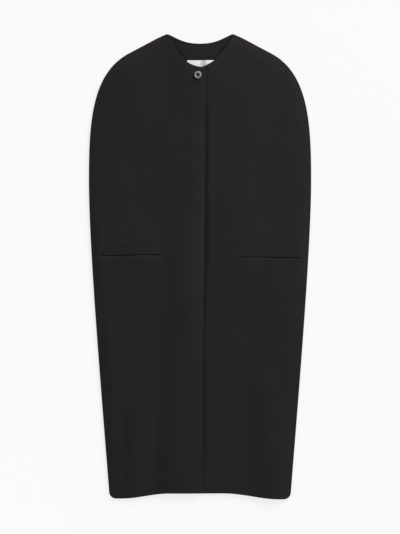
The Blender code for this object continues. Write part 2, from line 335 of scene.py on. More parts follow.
def split_at_corner(face, corners):
    """A corner cell in two triangles, parted from its corner inwards, so the skins stay apart."""
    found = [place for place, point in enumerate(face) if point in corners]
    if not found:
        return [face]
    a, b, c, d = face[found[0]:] + face[:found[0]]
    return [[a, b, c], [a, c, d]]


def turns_down(points, face):
    a, b, c = (points[k] for k in face[:3])
    return np.cross(b - a, c - a)[2] < 0


def add_piece(name, points, faces):
    mesh = bpy.data.meshes.new(name)
    mesh.from_pydata(points.tolist(), [], [list(face) for face in faces])
    mesh.validate()
    mesh.shade_smooth()
    piece = bpy.data.objects.new(name, mesh)
    bpy.context.scene.collection.objects.link(piece)
    return piece


def triangles(piece):
    return sum(len(face.vertices) - 2 for face in piece.data.polygons)


# %% Two skins that close at the edge
EDGE_POWER = 3
THINNEST_SHARE = 0.02


def shell(name, plan, middle, thickness, rim):
    """A closed thin shell over a grid of plan points, with a quarter-round edge at the rim."""
    rows, columns = plan.shape[:2]
    x, drop = plan[..., 0], plan[..., 1]
    inside = np.clip(distance_to(rim, x, drop) / (thickness / 2), 0.0, 1.0)
    half = thickness / 2 * (1.0 - (1.0 - inside) ** EDGE_POWER) ** (1 / EDGE_POWER)
    border = np.ones((rows, columns), bool)
    border[1:-1, 1:-1] = False
    half = np.where(border, 0.0, np.maximum(half, thickness * THINNEST_SHARE))
    y = LENGTH / 2 - drop
    upper = np.stack((x, y, middle + half), axis=-1).reshape(-1, 3)
    lower = np.stack((x, y, middle - half), axis=-1)[~border]
    upper_index = np.arange(rows * columns).reshape(rows, columns)
    lower_index = upper_index.copy()
    lower_index[~border] = rows * columns + np.arange(len(lower))
    faces = np.concatenate((quads(upper_index), quads(lower_index)[:, ::-1]))
    if turns_down(upper, faces[0]):
        faces = faces[:, ::-1]
    corners = {0, columns - 1, (rows - 1) * columns, rows * columns - 1}
    cells = [cell for face in faces.tolist() for cell in split_at_corner(face, corners)]
    return add_piece(name, np.concatenate((upper, lower)), cells)


# %% [markdown]
# ## Rows of a panel
# A flat face cut by its outline would be filled with long thin triangles that can't crease. So straight
# rows run from the side seam to the free edge. Near the top they bend into the neckline and near the
# foot into the hem, so that the grid's border is the cut edge all round.

# %% Grid of a panel in plan
NECK_FADE = 0.36
DIP_FADE = 0.24
Lines = namedtuple("Lines", "side edge neck hem")


def chord(line, shares):
    shares = np.asarray(shares)[:, None]
    return line[0] * (1 - shares) + line[-1] * shares


def along_drop(line, shares, fade):
    """Points down a line at shares of its drop; within the fade the drops close up smoothly."""
    top, foot = line[0, 1], line[-1, 1]
    drops = top + shares * (foot - top)
    if fade:
        level = shares * foot
        drops = level + top * (1.0 - smooth_step(level / fade))
    return np.stack((np.interp(drops, line[:, 1], line[:, 0]), drops), axis=-1)


def straight_rows(start, end, across):
    u = across[None, :, None]
    return start[:, None] * (1 - u) + end[:, None] * u


def bend_rows(rows, neck_line, hem_line, across, neck_share, hem_share):
    """Bend the upper rows into the neckline and the lower ones into the hem."""
    neck_bend = along(neck_line, across) - chord(neck_line, across)
    hem_bend = along(hem_line, across) - chord(hem_line, across)
    rows = rows + neck_share[:, None, None] * neck_bend + hem_share[:, None, None] * hem_bend
    rows[0], rows[-1] = along(neck_line, across), along(hem_line, across)
    return rows


def panel_rows(lines, across, down):
    """Points of a four-sided panel. Its lines run from the side to the edge, or from top to foot."""
    side, edge = along_drop(lines.side, down, 0.0), along_drop(lines.edge, down, NECK_FADE)
    low = side[:, 1]
    neck_share = 1.0 - smooth_step((low - low[0]) / NECK_FADE)
    hem_share = smooth_step((low - low[-1] + DIP_FADE) / DIP_FADE)
    rows = straight_rows(side, edge, across)
    return bend_rows(rows, lines.neck, lines.hem, across, neck_share, hem_share)


# %% [markdown]
# ## Creases
# The fold table holds the large forms. Smaller creases are placed from the photograph, as soft
# ridges and troughs of uneven length: a broad swell on each front, drag lines from the welts, a pull
# from the button, long troughs between the folds and a ridge along each lower margin. They could be
# sculpted, but the rows of a table can be compared and changed one at a time.

# %% Crease table
CREASE_FADE = 0.35
Crease = namedtuple("Crease", "front x_from drop_from x_to drop_to half_width height")
CREASES = (
    Crease(RIGHT, -0.158, 0.010, -0.160, 0.350, 0.056, 0.0036),
    Crease(RIGHT, -0.205, 0.150, -0.214, 0.470, 0.038, 0.0009),
    Crease(RIGHT, -0.060, 0.125, -0.085, 0.330, 0.026, 0.0008),
    Crease(RIGHT, -0.078, 0.470, -0.066, 0.860, 0.020, -0.0010),
    Crease(RIGHT, -0.180, 0.610, -0.170, 0.800, 0.030, 0.0010),
    Crease(RIGHT, -0.096, 0.560, -0.072, 0.640, 0.012, -0.0007),
    Crease(RIGHT, -0.236, 0.600, -0.228, 1.230, 0.018, 0.0018),
    Crease(RIGHT, -0.118, 0.930, -0.110, 1.190, 0.024, -0.0012),
    Crease(LEFT, 0.062, 0.130, 0.078, 0.420, 0.032, -0.0010),
    Crease(LEFT, 0.168, 0.130, 0.182, 0.480, 0.040, 0.0010),
    Crease(LEFT, 0.112, 0.700, 0.146, 0.880, 0.022, -0.0014),
    Crease(LEFT, 0.196, 0.600, 0.190, 0.820, 0.034, 0.0012),
    Crease(LEFT, 0.098, 0.560, 0.070, 0.650, 0.012, -0.0006),
    Crease(LEFT, 0.236, 0.610, 0.222, 1.000, 0.022, 0.0009),
    Crease(LEFT, 0.028, 0.420, 0.034, 0.760, 0.018, -0.0008),
    Crease(LEFT, 0.128, 0.850, 0.122, 1.190, 0.024, -0.0012),
    Crease(LEFT, 0.126, 0.300, 0.126, 0.740, 0.048, 0.0028),
)


def crease_height(front, x, drop):
    total = np.zeros(np.shape(x))
    for crease in CREASES:
        if crease.front is not front:
            continue
        run_x, run_drop = crease.x_to - crease.x_from, crease.drop_to - crease.drop_from
        share = (x - crease.x_from) * run_x + (drop - crease.drop_from) * run_drop
        share = share / (run_x**2 + run_drop**2)
        off = np.hypot(x - crease.x_from - share * run_x, drop - crease.drop_from - share * run_drop)
        fade = smooth_step(share / CREASE_FADE) * smooth_step((1 - share) / CREASE_FADE)
        total += crease.height * fade * np.exp(-((off / crease.half_width) ** 2))
    return total


print(len(CREASES), "creases, up to", max(abs(crease.height) for crease in CREASES), "m")

# %% Broad unevenness of pressed wool
WAVE_COUNT = 9
WAVE_HEIGHT = 0.00016
WAVE_LENGTHS = (0.07, 0.26)
WAVE_TURN = 0.7
WAVE_SEED = 11


def unevenness(x, drop):
    """A few crossing waves, far too low to see alone, that break up a drawn surface."""
    draw = np.random.default_rng(WAVE_SEED)
    total = np.zeros(np.shape(x))
    for _ in range(WAVE_COUNT):
        turn, phase = draw.uniform(-WAVE_TURN, WAVE_TURN), draw.uniform(0, 2 * math.pi)
        pitch = 2 * math.pi / draw.uniform(*WAVE_LENGTHS)
        total += WAVE_HEIGHT * np.sin(pitch * (x * math.cos(turn) + drop * math.sin(turn)) + phase)
    return total


print(WAVE_COUNT, "waves of", WAVE_HEIGHT, "m")

# %% [markdown]
# ## Lap, welt beds and button seat
# The lap rolls up a little and then bends down to its edge, and the front below comes up again beyond
# it. The groove between them is the dark line down the real front, widest at hip height. Round a welt
# the panel comes up level with it: the seam above is a shallow groove and the mouth below a deep one.
# The outer end of the right welt has been pulled open, and both mouths hang lower at their outer ends.
# All of this could be cut and joined as mesh, but as heights it needs no cutting and stays smooth.

# %% The groove beside the lapped edge
GROOVE_DEPTH = 0.0030
GROOVE_AT_NECK = 0.35
GROOVE_FULL = (0.12, 0.27)
GROOVE_EASE = (0.64, 0.78)
GROOVE_EASED = 0.30
GROOVE_FADE = (1.02, 1.17)
GROOVE_FADED = 0.55
GAPE_DROP = 0.555
GAPE_LENGTH = 0.085
GAPE_DEEPER = 0.40


def gape_share(drop):
    return np.exp(-(((drop - GAPE_DROP) / GAPE_LENGTH) ** 2))


def groove_depth(drop):
    opened = GROOVE_AT_NECK + (1.0 - GROOVE_AT_NECK) * between(drop, GROOVE_FULL)
    closed = 1.0 - GROOVE_EASED * between(drop, GROOVE_EASE) - GROOVE_FADED * between(drop, GROOVE_FADE)
    return GROOVE_DEPTH * opened * closed * (1.0 + GAPE_DEEPER * gape_share(drop))


print("the groove is", round(float(groove_depth(GAPE_DROP)), 4), "m deep at hip height")

# %% The lap's roll and the bank beyond it
LAP_BEND = 0.014
LAP_BEND_FADE = (0.72, 0.95)
LAP_BEND_KEPT = 0.30
LAP_ROLL = 0.0018
LAP_ROLL_AT = -0.030
LAP_ROLL_WIDTH = 0.022
LAP_ROLL_FULL = (0.12, 0.30)
GROOVE_WIDTH = 0.0085
GROOVE_NARROWED = 0.40
GROOVE_GAPE = 0.0065
BANK_SHARE = 0.75
BANK_FALL = (0.060, 0.170)


def edge_height(front, x, drop):
    """The lap bends down to its edge, and the left front comes up again beyond it."""
    beyond = x - edge_x(drop)
    bend = np.exp(np.minimum(beyond, 0.0) / LAP_BEND)
    if front is RIGHT:
        fade = 1.0 - between(drop, LAP_BEND_FADE)
        roll = LAP_ROLL * np.exp(-(((beyond - LAP_ROLL_AT) / LAP_ROLL_WIDTH) ** 2))
        roll = roll * between(drop, LAP_ROLL_FULL) * fade
        return roll - groove_depth(drop) * bend * (LAP_BEND_KEPT + (1.0 - LAP_BEND_KEPT) * fade)
    width = GROOVE_WIDTH * (1.0 - GROOVE_NARROWED * (1.0 - between(drop, GROOVE_FULL)))
    climb = smooth_step(beyond / (width + GROOVE_GAPE * gape_share(drop)))
    bank = BANK_SHARE * climb * (1.0 - between(beyond, BANK_FALL))
    return groove_depth(drop) * (bank - np.where(beyond < 0, bend, 1.0 - climb))


print("the groove is", round(GROOVE_WIDTH + GROOVE_GAPE, 4), "m wide at hip height")

# %% Where the welts lie
FLARE_FROM = -0.204
FLARE_OVER = 0.010
DROOP = 0.0018
DROOP_OUTWARD = (0.155, 0.210)


def welt_box(front):
    """The welt's lowest and highest x, and the drops of its upper and lower line, from its solid."""
    low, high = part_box(front.welt)
    return low.x, high.x, LENGTH / 2 - high.y, LENGTH / 2 - low.y


def flared(front, x):
    """The outer end of the right welt has been pulled open a little, and tilts."""
    return smooth_step((FLARE_FROM - x) / FLARE_OVER) if front is RIGHT else np.zeros(np.shape(x))


def droop(x):
    """The lower line of a welt hangs a little lower towards its outer end."""
    return DROOP * between(np.abs(x), DROOP_OUTWARD)


for front in (RIGHT, LEFT):
    print(front.welt, "lies at", [round(size, 4) for size in welt_box(front)])

# %% The seam above a welt and the mouth below it
ALL_ALONG = -1.0
SEAM_SHOWS_FROM = {RIGHT: ALL_ALONG, LEFT: 0.150}
SEAM_SHOWS_OVER = 0.022
SEAM_SHOWS = 0.6
FLARE_CLOSED = 0.5
MOUTH_GAP = 0.0008
LINE_WIDTH = 0.0012
LINE_MIDDLE = 0.5


def seam_share(front, x):
    """Where the seam above the welt shows. Elsewhere the panel closes over it."""
    shows = SEAM_SHOWS * smooth_step((x - SEAM_SHOWS_FROM[front]) / SEAM_SHOWS_OVER)
    return shows * (1.0 - FLARE_CLOSED * flared(front, x))


def mouth_gap(front, x):
    """The gap under a welt. On the left front it closes towards the centre."""
    return MOUTH_GAP * between(np.abs(x), DROOP_OUTWARD) if front is LEFT else MOUTH_GAP


def pressed_line(off):
    """A soft line, deepest half its width beyond the welt."""
    return np.exp(-((off / LINE_WIDTH - LINE_MIDDLE) ** 2))


# %% The bed of each welt
WELT = 0.0020
BED_SPREAD = 0.070
BED_SIDE = 0.020
BED_RAMP = 0.0024
BED_END_LAP = 0.0078
BED_LOW = 0.00015
SEAM_LAP = 0.0026
MOUTH_DEPTH = 0.0012
LINE_END = 0.0044
LINE_END_PAST = 0.0010
LINE_END_DEPTH = 0.0014
FLARE = 0.0030
FLARE_MOUTH = 0.0010
FLARE_END_LAP = 0.0034


def bed_height(front, x, drop):
    """The panel stands level with the welt, but comes down to the side seam beside it."""
    x_low, x_high, top, foot = welt_box(front)
    past_end = np.maximum(x_low - x, x - x_high)
    flare = flared(front, x)
    aside = np.maximum(past_end + BED_END_LAP + (FLARE_END_LAP - BED_END_LAP) * flare, 0)
    above = top - FLARE * flare - drop
    covered = above + SEAM_LAP * (1.0 - seam_share(front, x))
    below = drop - foot - droop(x) - mouth_gap(front, x)
    apart = np.hypot(aside, np.maximum(np.maximum(covered, below), 0))
    level = (WELT + SEAM_GAP - BED_LOW) * smooth_step(apart / BED_RAMP)
    level = level * np.exp(-((apart / BED_SPREAD) ** 2))
    level = level * smooth_step(distance_to(SIDE_CURVE, np.abs(x), drop) / BED_SIDE)
    at_end = LINE_END_DEPTH * smooth_step(aside / BED_RAMP)
    lines = (MOUTH_DEPTH + FLARE_MOUTH * flare + at_end) * pressed_line(below)
    lines = lines + at_end * seam_share(front, x) * pressed_line(above)
    return level - lines * (1.0 - smooth_step((past_end - LINE_END_PAST) / LINE_END + 1.0))


print("the bed stands", round(WELT + SEAM_GAP - BED_LOW, 5), "m over the front")

# %% The seat of the button
rim_low, rim_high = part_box("button_rim")
BUTTON_CENTRE = (rim_low + rim_high) / 2
BUTTON_FOOT = rim_low.z
BUTTON_DROP = LENGTH / 2 - BUTTON_CENTRE.y
SEAT_SPREAD = 0.016


def front_form(front, x, drop):
    """Height of the middle of a front's cloth before the welt and the button are set in."""
    settled = smooth_step(distance_to(SIDE_CURVE, np.abs(x), drop) / ROLL_WIDTH)
    soft = crease_height(front, x, drop) + unevenness(x, drop)
    return inner_face(front, x, drop) + WOOL / 2 + settled * soft + edge_height(front, x, drop)


def front_middle(front, x, drop):
    """The same height with the bed of the welt and the seat of the button."""
    height = front_form(front, x, drop) + bed_height(front, x, drop)
    if front is RIGHT:
        centre = front_form(front, np.array([BUTTON_CENTRE.x]), np.array([BUTTON_DROP]))[0]
        short = BUTTON_FOOT - SEAM_GAP - WOOL / 2 - centre
        away = np.hypot(x - BUTTON_CENTRE.x, drop - BUTTON_DROP)
        height = height + short * np.exp(-((away / SEAT_SPREAD) ** 2))
    return height


print("button seat at drop", round(BUTTON_DROP, 4), "height", round(BUTTON_FOOT, 4))

# %% [markdown]
# ## The two fronts
# The right front laps over the left, so the left is made first and runs on under the lap. Each is cut
# from four lines: the side seam, the free edge, the neckline and the hem. The second could be a mirrored
# copy, but only one of them runs on under the lap, so one function cuts both from their own sizes.

# %% Cutting lines of a front
CORNER_RADIUS = 0.018
ARC_POINTS = 13
LINE_POINTS = 80


def corner_arc(front):
    """The rounded corner of the hem, from the side seam round to the hem, as x and drop."""
    foot = HEM_CENTRE + front.dip
    half = np.interp(foot - CORNER_RADIUS, SIDE_CURVE[:, 1], SIDE_CURVE[:, 0])
    turns = np.linspace(0.0, math.pi / 2, ARC_POINTS)
    out = half - CORNER_RADIUS * (1 - np.cos(turns))
    return np.stack((front.side * out, foot - CORNER_RADIUS * (1 - np.sin(turns))), axis=-1)


def front_lines(front):
    arc = corner_arc(front)
    split = len(arc) // 2
    above = SIDE_CURVE[SIDE_CURVE[:, 1] < arc[0, 1]] * (front.side, 1.0)
    side_line = np.vstack((above, arc[:split + 1]))
    neck_point = (front.side * NECK_POINT[0], NECK_POINT[1])
    neck_line = np.vstack((neck_point, front_neckline(front)))
    drops = np.linspace(front.corner_drop, HEM_CENTRE, LINE_POINTS)
    edge_across = edge_x(drops) if front is RIGHT else np.full(len(drops), UNDERLAP_X)
    edge_line = np.stack((edge_across, drops), axis=-1)
    hem_x = np.linspace(arc[-1, 0], edge_line[-1, 0], LINE_POINTS)[1:]
    hem_line = np.vstack((arc[split:], np.stack((hem_x, HEM_CENTRE + dip_at(hem_x)), axis=-1)))
    return Lines(side_line, edge_line, neck_line, hem_line)


print("the left hem runs on to x", front_lines(LEFT).hem[-1, 0].round(4))

# %% Lay the fronts
ROW_SPACING = 0.0044
COLUMN_SPACING = 0.0042


def make_front(front):
    lines = front_lines(front)
    x_low, x_high, top, foot = welt_box(front)
    at_welt = [np.interp(top, line[:, 1], line[:, 0]) for line in (lines.side, lines.edge)]
    ends = [(x - at_welt[0]) / (at_welt[1] - at_welt[0]) * WIDEST[0] for x in (x_low, x_high)]
    across = crowded(WIDEST[0], COLUMN_SPACING, ends)
    down = crowded(lines.side[-1, 1], ROW_SPACING, (top, foot))
    plan = panel_rows(lines, across, down)
    rim = np.vstack((lines.neck[::-1], lines.side, lines.hem, lines.edge[::-1]))
    middle = front_middle(front, plan[..., 0], plan[..., 1])
    return shell(front.name + "_cloth", plan, middle, WOOL, rim)


front_left = make_front(LEFT)
front_right = make_front(RIGHT)
for made in (front_left, front_right):
    print(made.name, triangles(made), "triangles")

# %% [markdown]
# ## The back
# The back is the layer on the floor. It could be joined from mirrored halves, but no centre seam shows,
# so it is cut as one panel. It lies flat, a little inside the fronts' outline, and only its neck edge
# and its rim can be seen.

# %% Cut the back
BACK_INSET = 0.0015
BACK_SPACING = 0.009


def make_back():
    right, left = front_lines(RIGHT), front_lines(LEFT)
    inset = np.array((BACK_INSET, 0.0))
    right_side, left_side = right.side + inset, left.side - inset
    neck_line = np.vstack((right_side[:1], back_neckline()[1:-1], left_side[:1]))
    right_hem, left_hem = right.hem[right.hem[:, 0] < 0], left.hem[left.hem[:, 0] > 0]
    hem_line = np.vstack((right_hem, left_hem[::-1])) - np.array((0.0, BACK_INSET))
    hem_line[0], hem_line[-1] = right_side[-1], left_side[-1]
    across = crowded(2 * WIDEST[0], BACK_SPACING)
    down = crowded(LENGTH, BACK_SPACING)
    rows = straight_rows(along_drop(right_side, down, 0.0), along_drop(left_side, down, 0.0), across)
    neck_share = 1.0 - smooth_step(down * LENGTH / NECK_FADE)
    hem_share = smooth_step((down * LENGTH - LENGTH + DIP_FADE) / DIP_FADE)
    plan = bend_rows(rows, neck_line, hem_line, across, neck_share, hem_share)
    rim = np.vstack((neck_line, left_side, hem_line[::-1], right_side[::-1]))
    return shell("back_cloth", plan, np.full(plan.shape[:2], WOOL / 2), WOOL, rim)


back = make_back()
print(back.name, triangles(back), "triangles")

# %% [markdown]
# ## Facing
# A dark facing is sewn round the back neck and ends in a straight foot. It could be a flat strip, but
# the real one rolls up at the neck seam and is held down beside the right front. So it is a fine grid
# between the neckline and the foot, with heights of its own.

# %% Cut the facing
FACING = 0.0015
FACING_INSET = 0.0010
FACING_TOP_SHARE = 0.9
FACING_HELD = 0.016
FACING_TROUGH = 0.0009
FACING_TROUGH_WIDTH = 0.010
FACING_ROLL = 0.0012
FACING_ROLL_WIDTH = 0.006
FINE_SPACING = 0.0016


def make_facing():
    low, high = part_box("back_neck_facing")
    foot = LENGTH / 2 - low.y
    half_foot = high.x
    neck = back_neckline()
    span = np.abs(neck[:, 0]) < half_foot * FACING_TOP_SHARE
    across = crowded(2 * half_foot, FINE_SPACING)
    down = crowded(foot, FINE_SPACING)
    upper = along(neck[span] + np.array((0.0, FACING_INSET)), across)
    lower = along(np.array(((-half_foot, foot), (half_foot, foot))), across)
    v = down[:, None, None]
    plan = upper[None] * (1 - v) + lower[None] * v
    rim = np.vstack((upper, lower[::-1], upper[:1]))
    x, drop = plan[..., 0], plan[..., 1]
    from_neck = drop - upper[None, :, 1]
    beside = smooth_step(distance_to(front_neckline(RIGHT), x, drop) / FACING_TROUGH_WIDTH)
    trough = FACING_TROUGH * beside * smooth_step(from_neck / FACING_HELD)
    roll = FACING_ROLL * np.exp(-((from_neck / FACING_ROLL_WIDTH) ** 2))
    middle = low.z + FACING / 2 + roll + trough
    return shell("neck_facing_cloth", plan, middle, FACING, rim)


facing = make_facing()
print(facing.name, triangles(facing), "triangles")

# %% [markdown]
# ## Lining
# Below the facing a sliver of pale satin shows, with a blunt end on the wearer's right and the soft
# pleat that a lining has at the centre back. The pleat could be folded in the mesh, but seen from above
# it is only a step in height, so it is a change of height across a fine grid.

# %% Cut the lining
SATIN = 0.0010
LINING_LIFT = 0.0012
PLEAT_X = 0.0099
PLEAT_RISE = 0.0066
PLEAT_WIDTH = 0.020
PLEAT_MIDDLE = 0.5
PLEAT_TOP = 0.026
PLEAT_FALL = 0.020


def grid_in(x_low, x_high, top, foot, column_spacing, row_spacing):
    """A grid over a box in plan, crowded at its edges."""
    across = x_low + (x_high - x_low) * crowded(x_high - x_low, column_spacing)
    down = top + (foot - top) * crowded(foot - top, row_spacing)
    return np.stack(np.meshgrid(across, down), axis=-1)


def round_grid(plan):
    """The line round a grid."""
    return np.vstack((plan[0], plan[:, -1], plan[-1, ::-1], plan[::-1, 0]))


def make_lining():
    low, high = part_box("back_lining")
    top, foot = LENGTH / 2 - high.y, LENGTH / 2 - low.y
    plan = grid_in(low.x, high.x, top, foot, FINE_SPACING, FINE_SPACING)
    x = plan[..., 0] - PLEAT_X
    pleat = PLEAT_RISE * smooth_step(x / PLEAT_WIDTH + PLEAT_MIDDLE)
    pleat = pleat * np.exp(-np.clip(x - PLEAT_TOP, 0, None) / PLEAT_FALL)
    middle = low.z + SATIN / 2 + LINING_LIFT + pleat
    return shell("back_lining_cloth", plan, middle, SATIN, round_grid(plan))


lining = make_lining()
print(lining.name, triangles(lining), "triangles")

# %% [markdown]
# ## Welts
# Each hand opening has a narrow welt. Its upper edge is sewn down into the front and its lower edge is
# free, so a dark line shows below it. A box could stand for it, but a real welt follows the cloth, so
# it takes its heights from the front that carries it.

# %% Lay the welts on the fronts
WELT_SUNK = 0.0008
WELT_TURN = 0.0035
WELT_END_DIVE = 0.00045
WELT_END_TURN = 0.0075
WELT_SPACING = 0.0026
FLARE_SUNK = 0.0012


def make_welt(front):
    x_low, x_high, top, foot = welt_box(front)
    plan = grid_in(x_low, x_high, top, foot, WELT_SPACING, WELT_SPACING / 2)
    x, drop = plan[..., 0], plan[..., 1]
    height_share = (foot - drop) / (foot - top)
    drop += droop(x) * (1.0 - height_share) - FLARE * flared(front, x) * height_share
    from_seam = (1.0 - height_share) * (foot - top)
    from_end = np.minimum(x - x_low, x_high - x)
    sunk = WELT_SUNK * seam_share(front, x) * (1.0 - smooth_step(from_seam / WELT_TURN))
    sunk = sunk + WELT_END_DIVE * (1.0 - smooth_step(from_end / WELT_END_TURN))
    sunk = sunk + FLARE_SUNK * flared(front, x) * (1.0 - height_share)
    middle = front_form(front, x, drop) + WOOL / 2 + SEAM_GAP + WELT / 2 - sunk
    return shell(front.welt + "_cloth", plan, middle, WELT, round_grid(plan))


welt_right = make_welt(RIGHT)
welt_left = make_welt(LEFT)
for made in (welt_right, welt_left):
    print(made.name, triangles(made), "triangles")

# %% [markdown]
# ## Button
# The button has a turned metal rim and a dished dark face. A turned shape is a profile swept round an
# axis. The Screw modifier would sweep it too, but its ends then have to be merged, and rings of points
# close by themselves. The finish later paints a pale band on the crest of the rim as a painted
# highlight and leaves its slope dark.

# %% Sweep a profile round the button's axis
ROUND_SIDES = 96


def ring_points(radius, height):
    turns = np.linspace(0, 2 * math.pi, ROUND_SIDES, endpoint=False)
    x, y = BUTTON_CENTRE.x + radius * np.cos(turns), BUTTON_CENTRE.y + radius * np.sin(turns)
    return np.stack((x, y, np.full(ROUND_SIDES, BUTTON_FOOT + height)), axis=-1)


def turned(name, profile, closed):
    """A profile of radii and heights swept round the button's axis: a ring, or else a disc."""
    points = np.concatenate([ring_points(radius, height) for radius, height in profile])
    rings = np.arange(len(points)).reshape(len(profile), ROUND_SIDES)
    index = np.concatenate((rings, rings[:, :1]), axis=1)
    if closed:
        index = np.concatenate((index, index[:1]))
    faces = quads(index)[:, ::-1].tolist()
    if not closed:
        faces += [rings[0, ::-1].tolist(), rings[-1].tolist()]
    return add_piece(name, points, faces)


# %% Turn the rim
RIM_OUTER = (rim_high.x - rim_low.x) / 2
RIM_HEIGHT = rim_high.z - rim_low.z
RIM_EDGE = 0.0011
RIM_EDGE_TURN = (math.radians(-90), math.radians(72))
RIM_EDGE_POINTS = 10
RIM_CREST = 0.0068
RIM_WELL = 0.0050
RIM_WELL_FOOT = 0.0010
FLANK_FULL = 0.80
FLANK_FLAT = 0.0018
WELL_FULL = 0.90
WELL_FLAT = 0.0010
PROFILE_STEP = 6


def rim_profile():
    """Up the round outer edge, over the domed flank to the crest, and down into the well."""
    turns = np.linspace(*RIM_EDGE_TURN, RIM_EDGE_POINTS)
    middle = RIM_OUTER - RIM_EDGE
    edge = [(middle + RIM_EDGE * math.cos(t), RIM_EDGE + RIM_EDGE * math.sin(t)) for t in turns]
    crest, foot = (RIM_CREST, RIM_HEIGHT), (RIM_WELL, RIM_WELL_FOOT)
    flank_reach = (RIM_CREST + FLANK_FLAT, RIM_HEIGHT)
    flank = bezier(edge[-1], (middle, RIM_HEIGHT * FLANK_FULL), flank_reach, crest)
    well_reach = (RIM_CREST - WELL_FLAT, RIM_HEIGHT)
    well = bezier(crest, well_reach, (RIM_WELL, RIM_HEIGHT * WELL_FULL), foot)
    picked = slice(PROFILE_STEP, None, PROFILE_STEP)
    return [(RIM_WELL, 0.0), *edge, *flank[picked], *well[picked], foot]


button_rim = turned("button_rim_turned", rim_profile(), closed=True)
print("button", round(RIM_OUTER * 2, 4), "across, seated at", round(BUTTON_FOOT, 4))

# %% Turn the dish
DISH_RINGS = 14
DISH_MIDDLE = 0.0004
DISH_FLOOR = 0.0013
DISH_HOLLOW = 0.0007


def dish_profile():
    radii = np.linspace(RIM_WELL - SEAM_GAP, DISH_MIDDLE, DISH_RINGS)
    hollow = [(r, DISH_FLOOR + DISH_HOLLOW * (r / RIM_WELL) ** 2) for r in radii]
    return [(RIM_WELL - SEAM_GAP, 0.0), *hollow]


button_dish = turned("button_dish_turned", dish_profile(), closed=False)
print(button_dish.name, triangles(button_dish), "triangles")

# %% [markdown]
# ## Shader sums
# A finish is easier to read as a sum than as a drawing of nodes. One small class wraps a socket, so
# that plus, minus and times add Math nodes. Any other node comes from one method.

# %% Wires


class Wire:
    """A shader socket that can be used in Python sums."""

    def __init__(self, tree, socket):
        self.tree, self.socket = tree, socket

    def math(self, operation, first, second):
        node = self.tree.nodes.new("ShaderNodeMath")
        node.operation = operation
        plug(self.tree, node.inputs[0], first)
        plug(self.tree, node.inputs[1], second)
        return Wire(self.tree, node.outputs[0])

    def __add__(self, other):
        return self.math("ADD", self, other)

    def __sub__(self, other):
        return self.math("SUBTRACT", self, other)

    def __rsub__(self, other):
        return self.math("SUBTRACT", other, self)

    def __mul__(self, other):
        return self.math("MULTIPLY", self, other)

    __radd__, __rmul__ = __add__, __mul__


def plug(tree, socket, value):
    """Link a wire to a socket, or set the socket to a plain value."""
    if isinstance(value, Wire):
        tree.links.new(value.socket, socket)
    else:
        socket.default_value = value


# %% Finishes made of wires


class Finish:
    """A material with one Principled shader."""

    def __init__(self, name, **constants):
        self.material = bpy.data.materials.new(name)
        self.material.use_nodes = True
        self.tree = self.material.node_tree
        self.shader = self.tree.nodes["Principled BSDF"]
        self.feed(**constants)

    def node(self, kind, settings, sockets, output=None):
        """Any node: its settings are set first, then its sockets get values or wires."""
        node = self.tree.nodes.new(kind)
        for setting, value in settings.items():
            setattr(node, setting, value)
        for socket in node.inputs:
            if socket.identifier in sockets:
                plug(self.tree, socket, sockets[socket.identifier])
        found = [socket for socket in node.outputs if output in (None, socket.identifier)]
        return Wire(self.tree, found[0])

    def place(self):
        return self.node("ShaderNodeTexCoord", {}, {}, "Object")

    def mapped(self, place, **sockets):
        return self.node("ShaderNodeMapping", {}, {"Vector": place, **sockets})

    def noise(self, vector, scale, detail=2.0):
        sockets = {"Vector": vector, "Scale": scale, "Detail": detail}
        return self.node("ShaderNodeTexNoise", {}, sockets, "Fac")

    def mix(self, factor, first, second):
        sockets = {"Factor_Float": factor, "A_Color": (*first, 1), "B_Color": (*second, 1)}
        return self.node("ShaderNodeMix", {"data_type": "RGBA"}, sockets, "Result_Color")

    def fade(self, value, start, full):
        """Nought at the start, one from full on."""
        sockets = {"Value": value, "From Min": start, "From Max": full}
        return self.node("ShaderNodeMapRange", {}, sockets, "Result")

    def bump(self, height, distance, strength):
        sockets = {"Height": height, "Distance": distance, "Strength": strength}
        return self.node("ShaderNodeBump", {}, sockets, "Normal")

    def feed(self, **values):
        """Give the shader's sockets their wires or plain values."""
        for socket, value in values.items():
            plug(self.tree, self.shader.inputs[socket.replace("_", " ")], value)
        return self.material


# %% [markdown]
# ## Wool
# The wool is felted and brushed: short fibres lie down the cape, clumps of them mottle it, and a faint
# twill shows under the nap. Hair could be grown for the nap, but from a step away it is only a blur.
# Noise of three sizes gives the same mottle, and a slight bump breaks the light as the nap does. The
# facing is the same cloth in a cooler, darker tone.

# %% Felted wool
WOOL_TONES = ((0.0122, 0.0106, 0.0103), (0.0249, 0.0221, 0.0214))
FACING_TONES = ((0.0103, 0.0098, 0.0097), (0.0212, 0.0205, 0.0202))
NAP_STRETCH = (1.0, 0.28, 1.0)
NAP_HEIGHT = 0.00025
FIBRE_SCALE = 1500.0
CLUMP_SCALE = 230.0
SHADE_SCALE = 14.0
TWILL_SCALE = 260.0
TWILL_TURN = 0.6
TWILL_WOBBLE = 1.2


